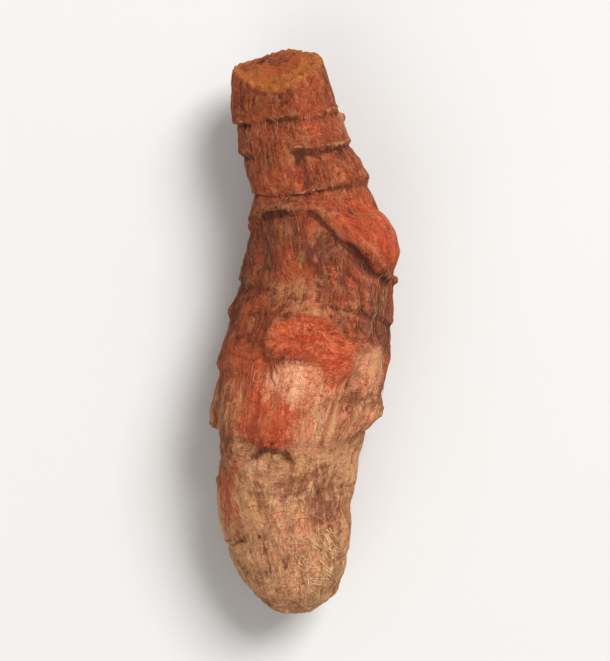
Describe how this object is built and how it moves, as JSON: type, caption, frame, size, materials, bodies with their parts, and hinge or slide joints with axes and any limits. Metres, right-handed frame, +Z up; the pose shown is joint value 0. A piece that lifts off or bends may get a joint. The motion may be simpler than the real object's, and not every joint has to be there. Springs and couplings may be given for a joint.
{
  "type": "turmeric root",
  "caption": "Stout ringed turmeric root finger with a rounded tip, a snapped end, a round side scar and a side knob, lying on its flattest side.",
  "frame": {"origin": "on the surface that the root lies on, below the middle of its outline", "axes": "+Y along the root from its rounded tip to its snapped end, +X to the side of the shoulder and the side knob, +Z up from the surface"},
  "size_m": [0.0248, 0.075, 0.0197],
  "materials": {
    "skin": "matt, dry, fibrous root skin: tan to brown with orange flesh showing where it is rubbed or scarred"
  },
  "bodies": {
    "root": {"rhizome": "skin"}
  },
  "joints": []
}
